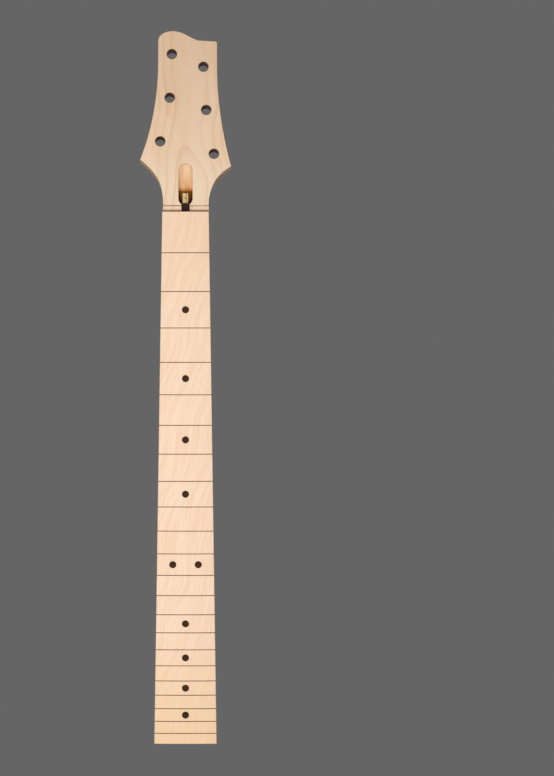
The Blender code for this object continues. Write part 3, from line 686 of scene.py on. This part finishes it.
def make_neck(*materials):
    """The blank: eased edges, holes painted dark inside as shade, and a trough painted with scorch
    and shade.
    """
    plain, sanded, bored, scorched_and_shaded = range(4)
    sliver = 0.00003
    cutting_crumb = 0.000004
    trough_depth = 0.0125
    rear_round = 0.0008
    front_ease = 0.0003
    trough_ease = 0.0002
    pad_ease = 0.0004
    neck = merged_copy("neck_blank", "carved_neck")
    dress(neck, *materials)

    def in_trough(face):
        x, height, depth = head_place(middle(face))
        inside = abs(x) < trough_half_width + near and height < trough_length + 2 * near
        return inside and 2 * near < depth < trough_depth and middle(face).z > nut_z + 0.001

    def hole_wall(face):
        return abs(face.normal.dot(head_back)) < 0.3 and in_tuner_hole(middle(face))

    def pilot_hole(face):
        at = middle(face)
        reach = pilot_radius + near
        return at.y < -near and any(math.hypot(at.x - x, at.z - z) < reach for x, z in pilots)

    def in_plane(depth):
        """A test for faces of the head that lie in one plane, so that they can be made one."""

        def test(face):
            places = [head_place(vert.co) for vert in face.verts]
            return all(abs(place[2] - depth) < hair and place[1] > -near / 2 for place in places)

        return test

    refill(neck, lambda face: hole_wall(face) or pilot_hole(face))
    for depth in (0, head_thickness):
        pick(neck, "FACE", in_plane(depth))
        bpy.ops.mesh.dissolve_faces()
    pick_all()
    bpy.ops.mesh.dissolve_degenerate(threshold=sliver)
    pick_all()
    bpy.ops.mesh.dissolve_limited(angle_limit=flat_angle)

    def outer_wall(face):
        square = abs(face.normal.dot(head_back)) < 0.5
        return square and head_place(middle(face))[1] > 0.001 and not in_trough(face)

    def head_rear(face):
        return face.normal.dot(head_back) > 0.98 and head_place(middle(face))[1] > 0.001

    def head_front(face):
        return face.normal.dot(head_back) < -0.98 and abs(head_place(middle(face))[2]) < near

    def pad(face):
        return face.normal.y > 0.99 and abs(middle(face).y) < 2 * near

    def heel_wall(face):
        return abs(face.normal.y) < 0.3 and middle(face).z < 0.05

    def above_wings(edge):
        for vert in edge.verts:
            x, height, depth = head_place(vert.co)
            tip = bass_tip if x < 0 else treble_tip
            if height <= tip - 2 * near:
                return False
        return True

    rear_corner = corner_between(head_rear, outer_wall)
    give_faces(neck, scorched_and_shaded, in_trough)
    give_faces(neck, sanded, lambda face: outer_wall(face) and head_place(middle(face))[1] > 0.012)
    round_edges(neck, rear_round, 3, sanded, lambda edge: above_wings(edge) and rear_corner(edge))
    round_edges(neck, front_ease, 2, sanded, corner_between(head_front, outer_wall))
    round_edges(neck, trough_ease, 2, plain, corner_between(head_front, in_trough))
    round_edges(neck, pad_ease, 2, plain, corner_between(pad, heel_wall))
    bpy.ops.object.mode_set(mode="OBJECT")

    tuner_bit = bit(tuner_hole_radius, head_thickness, materials, bored, True)
    pilot_bit = bit(pilot_radius, pilot_depth, materials, bored, False)
    cutters = []
    for x, height in tuner_holes:
        cutter = own_copy(tuner_bit, "tuner_bit")
        cutter.rotation_euler = (-head_back).to_track_quat("Z", "X").to_euler()
        cutter.location = Vector((x, face_y, crease_z)) + head_up * height
        cutters.append(cutter)
    for x, z in pilots:
        cutter = own_copy(pilot_bit, "pilot_bit")
        cutter.rotation_euler = Vector((0, 1, 0)).to_track_quat("Z", "X").to_euler()
        cutter.location = (x, 0, z)
        cutters.append(cutter)
    for used in (tuner_bit, pilot_bit):
        bpy.data.objects.remove(used)
    drill(neck, cutters)
    bpy.ops.object.mode_set(mode="EDIT")
    pick_all()
    bpy.ops.mesh.dissolve_degenerate(threshold=cutting_crumb)
    shade(neck, 32)
    settle(neck, "neck", "maple_neck", "neck_blank")


def dot_nodes(prefix):
    return [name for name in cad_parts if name.startswith(prefix)]


def centre(name):
    low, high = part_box(name)
    return (low + high) / 2


def make_fingerboard(maple, sawn):
    """The board: sawn slots painted dark as shade and saw browning, and its inlay pockets filled in
    flat.
    """
    board = merged_copy("fingerboard", "slotted_fingerboard")
    dress(board, maple, sawn)
    face_dots = [centre(name) for name in dot_nodes("dot_")]
    side_dots = [centre(name) for name in dot_nodes("side_dot_")]
    wide = dot_radius + pocket_gap + near
    wide_side = side_dot_radius + pocket_gap + near
    face_pocket_y = (crown_y + 0.0004, crown_y + 0.0035)
    half_pin = 0.0012
    pins_end_x = -0.015

    def in_face_pocket(at):
        deep = face_pocket_y[0] < at.y < face_pocket_y[1]
        return deep and any(math.hypot(at.x - dot.x, at.z - dot.z) < wide for dot in face_dots)

    def in_side_pocket(at):
        for dot in side_dots:
            beside = at.x > dot.x - half_pin
            if beside and math.hypot(at.y - dot.y, at.z - dot.z) < wide_side:
                return at.x < pins_end_x
        return False

    refill(board, lambda face: in_face_pocket(middle(face)) or in_side_pocket(middle(face)))
    pick_all()
    bpy.ops.mesh.dissolve_limited(angle_limit=flat_angle)
    slots = [fret_z(number) for number in range(1, fret_count + 1)]

    def slot_wall(face):
        at = middle(face)
        floor = crown_y + slot_depth
        if at.y > floor + 2 * near:
            return False
        close = any(abs(at.z - z) < slot_half_width + near / 2 for z in slots)
        return close and (abs(face.normal.z) > 0.9 or at.y > floor - 2 * near)

    give_faces(board, 1, slot_wall)
    under = joint_y - glue_gap
    pick(board, "VERT", lambda vert: vert.co.y > under - merge_distance)
    bpy.ops.transform.translate(value=(0, glue_gap - hair, 0))
    shade(board, 32)
    settle(board, "neck", "maple_board", "fingerboard")


def make_dots(plastic):
    """Face inlays: one disc, its front crowned a little as the board is, copied to each place."""
    thickness = 0.0018
    clear_selection()
    bpy.ops.mesh.primitive_cylinder_add(vertices=64, radius=dot_radius, depth=thickness)
    master = bpy.context.object
    dress(master, plastic)
    bpy.ops.object.mode_set(mode="EDIT")
    pick(master, "FACE", lambda face: face.normal.z > 0.9)
    bpy.ops.mesh.inset(thickness=0.0001)
    for inwards, crown in ((0.0012, 0.00001), (0.001, 0.000005)):
        bpy.ops.mesh.inset(thickness=inwards)
        bpy.ops.transform.translate(value=(0, 0, crown))
    bpy.ops.object.mode_set(mode="OBJECT")
    bpy.ops.object.shade_smooth_by_angle(angle=math.radians(30))
    for name in dot_nodes("dot_"):
        place = centre(name)
        radius = board_radius(place.z)
        surface = crown_y + radius - math.sqrt(radius**2 - place.x**2)
        dot = own_copy(master, "inlay_" + name)
        lean = math.asin(place.x / radius)
        out = Vector((math.sin(lean), -math.cos(lean), 0))
        dot.rotation_euler = out.to_track_quat("Z", "Y").to_euler()
        dot.location = Vector((place.x, surface, place.z)) - out * (thickness / 2 - hair)
        settle(dot, "neck", "dot_inlay", name)
    bpy.data.objects.remove(master)


def make_side_dots(plastic):
    """Edge inlays: one short pin, copied to each place."""
    length = 0.0025
    clear_selection()
    bpy.ops.mesh.primitive_cylinder_add(vertices=40, radius=side_dot_radius, depth=length)
    master = bpy.context.object
    dress(master, plastic)
    bpy.ops.object.mode_set(mode="EDIT")
    pick(master, "FACE", lambda face: face.normal.z > 0.9)
    bpy.ops.mesh.inset(thickness=0.0005)
    bpy.ops.transform.translate(value=(0, 0, 0.000005))
    bpy.ops.object.mode_set(mode="OBJECT")
    bpy.ops.object.shade_smooth_by_angle(angle=math.radians(30))
    for name in dot_nodes("side_dot_"):
        place = centre(name)
        pin = own_copy(master, "inlay_" + name)
        pin.rotation_euler = Vector((-1, 0, 0)).to_track_quat("Z", "Y").to_euler()
        pin.location = (place.x - hair, place.y, place.z)
        settle(pin, "neck", "side_dot", name)
    bpy.data.objects.remove(master)


def make_rod_nut(brass):
    """Barrel nut: rounded ends and a hexagon socket for the key."""
    across_flats = 0.0032
    socket_depth = 0.005
    end_round = 0.0005
    low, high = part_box("truss_rod_nut")
    place = (low + high) / 2
    length = high.z - low.z
    radius = (high.x - low.x) / 2
    clear_selection()
    bpy.ops.mesh.primitive_cylinder_add(vertices=64, radius=radius, depth=length, location=place)
    nut = bpy.context.object
    nut.name = "turned_rod_nut"
    take_up(nut)
    bpy.ops.object.transform_apply(location=True)
    dress(nut, brass)
    bpy.ops.object.mode_set(mode="EDIT")

    def end(face):
        return abs(face.normal.z) > 0.9

    def barrel(face):
        return abs(face.normal.z) < 0.1

    round_edges(nut, end_round, 3, 0, corner_between(end, barrel))
    bpy.ops.object.mode_set(mode="OBJECT")
    clear_selection()
    corner_radius = across_flats / math.sqrt(3)
    bpy.ops.mesh.primitive_cylinder_add(vertices=6, radius=corner_radius, depth=2 * socket_depth)
    socket = bpy.context.object
    socket.location = (place.x, place.y, high.z)
    cut = nut.modifiers.new("socket", "BOOLEAN")
    cut.object = socket
    take_up(nut)
    bpy.ops.object.modifier_apply(modifier=cut.name)
    bpy.data.objects.remove(socket)
    shade(nut, 30)
    settle(nut, "adjuster", "rod_brass", "truss_rod_nut")


def make_sleeve(rubber):
    """Shrink sleeve: drawn in a little over the block's end."""
    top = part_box("truss_rod_sleeve")[1].z
    core = centre("truss_rod_sleeve")
    sleeve = merged_copy("truss_rod_sleeve", "rod_shrink_sleeve")
    dress(sleeve, rubber)
    for below in (0.0034, 0.0016, 0.0006):
        pick_all()
        bpy.ops.mesh.bisect(plane_co=(0, 0, top - below), plane_no=(0, 0, 1))
    for below, size in ((0.0016, 0.97), (0.0006, 0.93), (0.0, 0.84)):
        pick(sleeve, "VERT", lambda vert: abs(vert.co.z - top + below) < near / 2)
        bpy.ops.transform.resize(value=(size, 1, 1), center_override=core)
    shade(sleeve, 40)
    settle(sleeve, "neck", "rod_sleeve", "truss_rod_sleeve")


def seen_directly(tree):
    """1 for what the camera sees, also in gloss or through glass, and 0 for light that falls."""
    path = tree.nodes.new("ShaderNodeLightPath")
    seen = path.outputs["Is Camera Ray"]
    for name in ("Is Glossy Ray", "Is Transmission Ray"):
        most = tree.nodes.new("ShaderNodeMath")
        most.operation = "MAXIMUM"
        tree.links.new(seen, most.inputs[0])
        tree.links.new(path.outputs[name], most.inputs[1])
        seen = most.outputs[0]
    return seen


def mix_shaders(tree, share, first, second):
    mix = tree.nodes.new("ShaderNodeMixShader")
    for socket, source in zip(mix.inputs, (share, first, second)):
        tree.links.new(source, socket)
    return mix.outputs[0]


def light_scene():
    """A soft even light, a plain grey beyond the object, and a soft box before and behind it."""
    soft_light = 0.24
    backdrop = (*srgb(backdrop_level, backdrop_level, backdrop_level), 1)
    world = bpy.data.worlds.new("studio")
    bpy.context.scene.world = world
    world.use_nodes = True
    tree = world.node_tree
    tree.nodes.clear()
    skies = []
    for colour, strength in (((1, 1, 1, 1), soft_light), (backdrop, 1.0)):
        sky = tree.nodes.new("ShaderNodeBackground")
        sky.inputs["Color"].default_value = colour
        sky.inputs["Strength"].default_value = strength
        skies.append(sky.outputs[0])
    surface = tree.nodes.new("ShaderNodeOutputWorld").inputs["Surface"]
    tree.links.new(mix_shaders(tree, seen_directly(tree), *skies), surface)

    # Name, place, side in metres and watts
    boxes = (
        ("front_softbox", (-0.16, -0.95, 0.2), 0.7, 7.4),
        ("back_softbox", (0, 1.3, 0.46), 0.3, 12.6),
    )
    for name, place, side, power in boxes:
        lamp = bpy.data.lights.new(name, "AREA")
        lamp.shape = "RECTANGLE"
        lamp.size = lamp.size_y = side
        lamp.energy = power
        softbox = bpy.data.objects.new(name, lamp)
        softbox.location = place
        aim = Vector((0, 0, place[2])) - Vector(place)
        softbox.rotation_euler = aim.to_track_quat("-Z", "Y").to_euler()
        softbox.visible_camera = False
        bpy.context.scene.collection.objects.link(softbox)


def lay_floor():
    """A pale floor well below the neck, which fades into the plain grey further out."""
    below = (0, 0, -0.35)
    clear_selection()
    bpy.ops.mesh.primitive_circle_add(vertices=96, radius=1.2, fill_type="NGON", location=below)
    floor = bpy.context.object
    floor.name = "studio_floor"
    paint = Finish("floor_paint")
    paint.set(Base_Color=srgb(190, 190, 190), Roughness=0.9)
    backdrop = srgb(backdrop_level, backdrop_level, backdrop_level)
    glow = paint.node("Emission", {}, {"Color": backdrop})
    far = (paint.x**2 + paint.y**2).root().rise(0.35, 1.15)
    share = Tone(paint, seen_directly(paint.tree)) * far
    surface = paint.tree.nodes["Material Output"].inputs["Surface"]
    painted = paint.shader.outputs[0]
    mixed = mix_shaders(paint.tree, share.socket, painted, glow.socket)
    paint.tree.links.new(mixed, surface)
    dress(floor, paint.material)


bpy.context.scene.view_settings.view_transform = "Standard"
place_camera()
light_scene()
lay_floor()
brass = turned_brass()
steel = rod_steel()
make_neck(neck_maple(), edge_maple(), shaded_bored_maple(), trough_maple())
make_fingerboard(board_maple(), shaded_sawn_maple())
make_dots(dark_inlay("dark_brown_inlay", srgb(56, 31, 8)))
make_side_dots(dark_inlay("black_side_dot", srgb(36, 32, 30)))
make_rod_nut(brass)
make_sleeve(shrink_sleeve())
for name, material in {
    "truss_rod_front_block": brass,
    "truss_rod_rear_block": brass,
    "truss_rod_bar": steel,
    "truss_rod_screw": steel,
}.items():
    dress(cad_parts[name], material)
